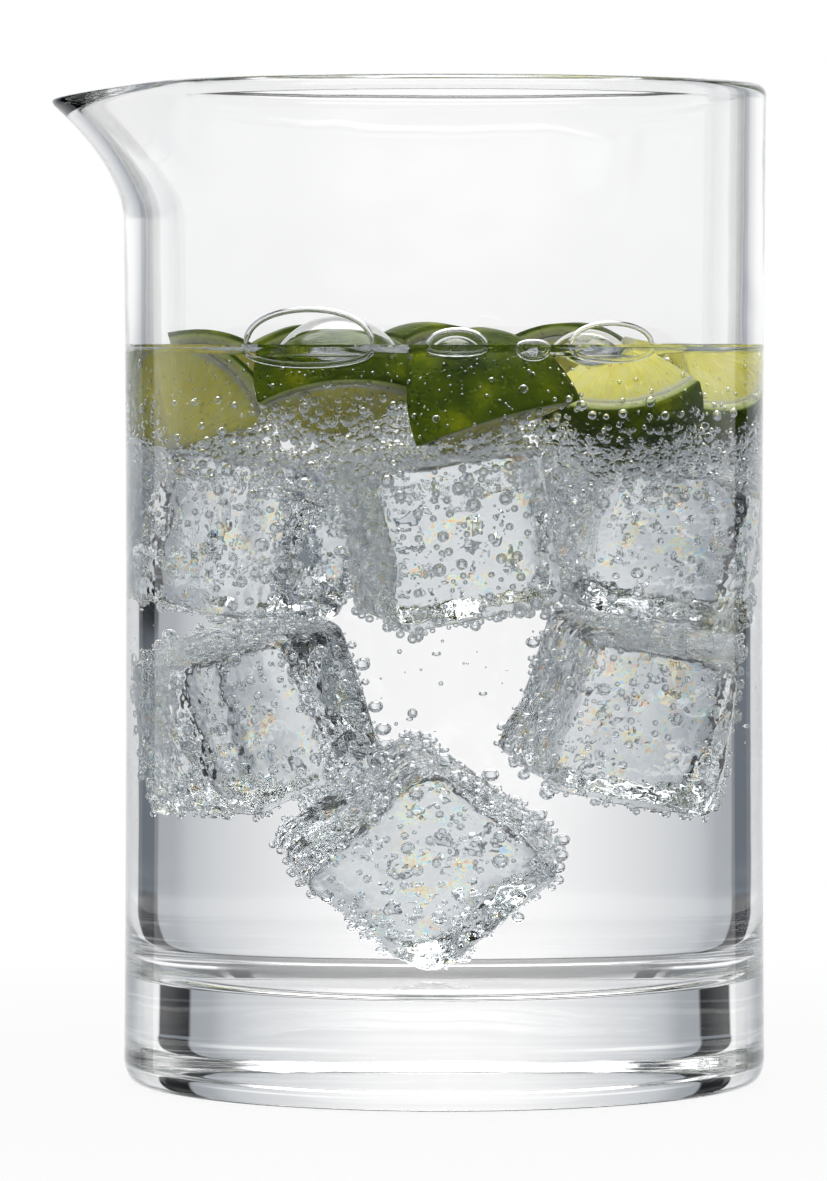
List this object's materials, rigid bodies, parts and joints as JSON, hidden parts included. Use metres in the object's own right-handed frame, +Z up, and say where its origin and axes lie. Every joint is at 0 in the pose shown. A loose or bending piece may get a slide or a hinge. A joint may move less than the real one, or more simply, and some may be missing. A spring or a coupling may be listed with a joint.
{
  "type": "mixing jug",
  "caption": "Straight-sided clear glass mixing jug with a heavy base and a pulled pouring lip, filled with sparkling water, ice cubes and lime wedges.",
  "frame": {"origin": "centre of the flat underside of the glass, on the axis of the jug", "axes": "+Z up along the axis of the jug, the pouring lip points along -X, +Y is away from the viewer of the picture"},
  "size_m": [0.1007, 0.0908, 0.1405],
  "materials": {
    "clear_glass": "polished",
    "sparkling_water": "polished",
    "clear_ice": "polished",
    "lime_peel": "gloss",
    "lime_flesh": "gloss"
  },
  "bodies": {
    "jug": {"jug_glass": "clear_glass"},
    "drink": {"sparkling_water": "sparkling_water", "ice_cube_1": "clear_ice", "ice_cube_2": "clear_ice", "ice_cube_3": "clear_ice", "ice_cube_4": "clear_ice", "ice_cube_5": "clear_ice", "ice_cube_6": "clear_ice", "lime_peel_1": "lime_peel", "lime_flesh_1": "lime_flesh", "lime_peel_2": "lime_peel", "lime_flesh_2": "lime_flesh", "lime_peel_3": "lime_peel", "lime_flesh_3": "lime_flesh", "lime_peel_4": "lime_peel", "lime_flesh_4": "lime_flesh", "lime_peel_5": "lime_peel", "lime_flesh_5": "lime_flesh", "lime_peel_6": "lime_peel", "lime_flesh_6": "lime_flesh", "lime_peel_7": "lime_peel", "lime_flesh_7": "lime_flesh", "lime_peel_8": "lime_peel", "lime_flesh_8": "lime_flesh"}
  },
  "joints": [
    {"name": "stir", "type": "hinge", "parent": "jug", "child": "drink", "pos_m": [0, 0, 0], "axis": [0, 0, 1], "continuous": true}
  ]
}
